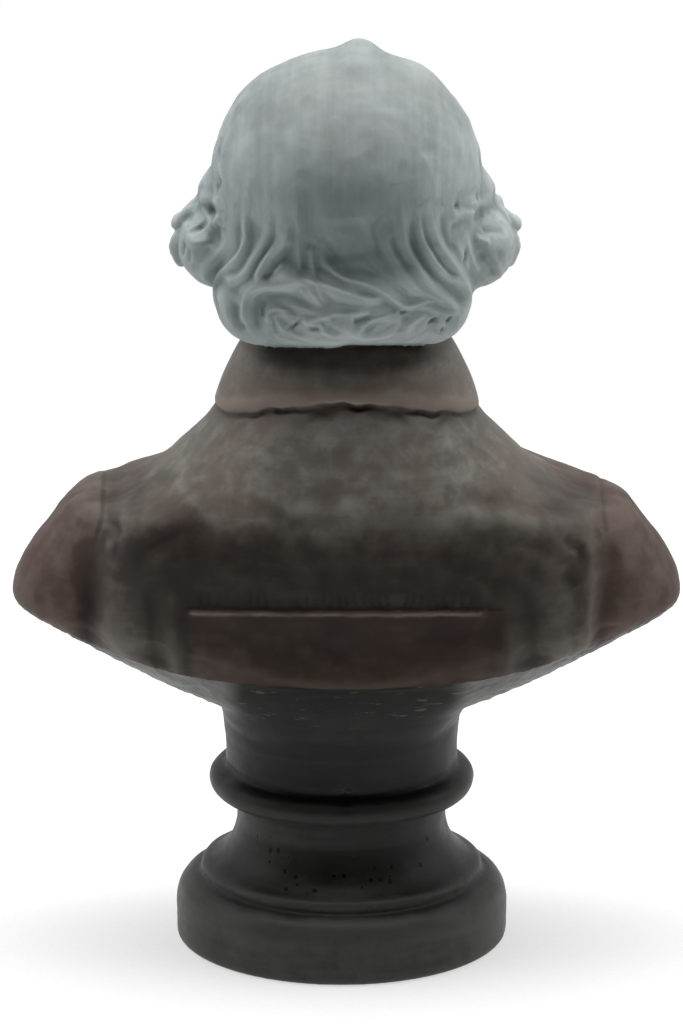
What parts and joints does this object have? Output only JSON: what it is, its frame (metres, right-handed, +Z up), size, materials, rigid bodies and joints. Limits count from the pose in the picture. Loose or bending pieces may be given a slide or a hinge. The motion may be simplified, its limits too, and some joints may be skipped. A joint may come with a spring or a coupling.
{
  "type": "portrait bust",
  "caption": "Small painted plaster portrait bust of a man in a high-collared coat, hair curled at ears and nape, cast in one with a turned round socle.",
  "frame": {"origin": "centre of the round socle's flat underside", "axes": "+Z up through the socle and head, the face looks along -Y, the bust's left shoulder is on +X"},
  "size_m": [0.1288, 0.069, 0.1798],
  "materials": {
    "painted_plaster": "matte"
  },
  "bodies": {
    "root": {"bust": "painted_plaster"}
  },
  "joints": []
}
